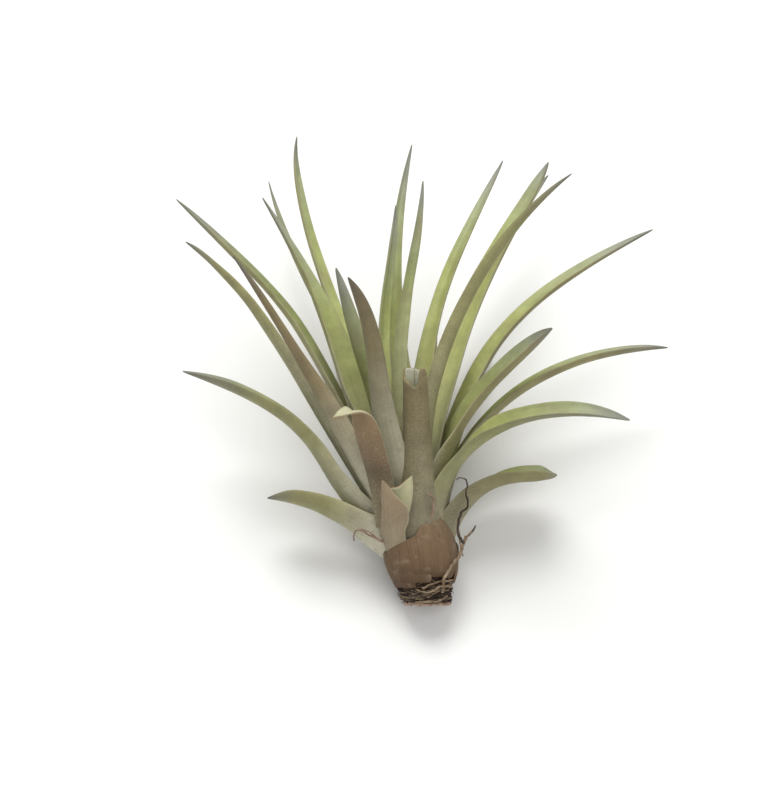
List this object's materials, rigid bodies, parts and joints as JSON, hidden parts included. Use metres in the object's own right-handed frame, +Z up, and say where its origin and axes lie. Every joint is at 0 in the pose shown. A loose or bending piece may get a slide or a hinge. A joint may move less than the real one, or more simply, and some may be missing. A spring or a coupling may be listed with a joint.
{
  "type": "air plant",
  "caption": "Small bare-rooted air plant: a rosette of arching channelled leaves on a short woody stem with dry old sheaths and wiry roots, lying as picked.",
  "frame": {"origin": "middle of the base of the plant's box, on the surface that it lies on", "axes": "+X to the plant's right as seen from above with the leaf tips away, +Y from the cut foot towards the leaf tips, +Z up"},
  "size_m": [0.1118, 0.1126, 0.0655],
  "materials": {
    "green_leaf": "matt living leaf, fine silver scales over green",
    "olive_leaf": "matt living leaf, grey-olive with fine silver scales",
    "brown_leaf": "matt living leaf, brown-grey outer face with fine silver scales",
    "pale_leaf": "matt pale yellow-green inner face of a cut leaf",
    "dry_sheath": "dry papery brown bract",
    "stem_wood": "dark fibrous woody stem, cut across",
    "dry_root": "dry wiry root"
  },
  "bodies": {
    "root": {"stem": "stem_wood", "leaf_left_lowest": "olive_leaf", "leaf_right_lowest": "olive_leaf", "leaf_left_arched": "green_leaf", "leaf_right_arched": "green_leaf", "leaf_front_folded": "brown_leaf", "leaf_front_cut": "brown_leaf", "leaf_right_level": "olive_leaf", "leaf_left_narrow": "green_leaf", "leaf_left_front": "brown_leaf", "leaf_right_short": "olive_leaf", "leaf_right_front": "brown_leaf", "leaf_front_curved": "brown_leaf", "leaf_right_long": "green_leaf", "leaf_left_long": "green_leaf", "leaf_left_hidden": "green_leaf", "leaf_right_twin_a": "green_leaf", "leaf_left_broad": "green_leaf", "leaf_right_twin_b": "green_leaf", "leaf_inner_left": "olive_leaf", "leaf_left_tall": "green_leaf", "leaf_right_tall": "green_leaf", "leaf_top_right": "green_leaf", "leaf_top_left": "green_leaf", "leaf_top_tall": "green_leaf", "leaf_back_low_right": "olive_leaf", "leaf_back_low_left": "olive_leaf", "leaf_back_right": "olive_leaf", "leaf_back_left": "olive_leaf", "leaf_back_middle": "green_leaf", "leaf_back_high_right": "green_leaf", "leaf_back_high_left": "green_leaf", "stub_front": "pale_leaf", "young_leaf_front": "green_leaf", "young_leaf_back": "green_leaf", "old_sheath_front": "dry_sheath", "old_sheath_right": "dry_sheath", "old_sheath_left": "dry_sheath", "old_sheath_back": "dry_sheath", "root_forked": "dry_root", "root_across": "dry_root", "root_slanting": "dry_root", "root_rim": "dry_root", "root_hook": "dry_root", "root_left": "dry_root", "root_back": "dry_root"}
  },
  "joints": []
}
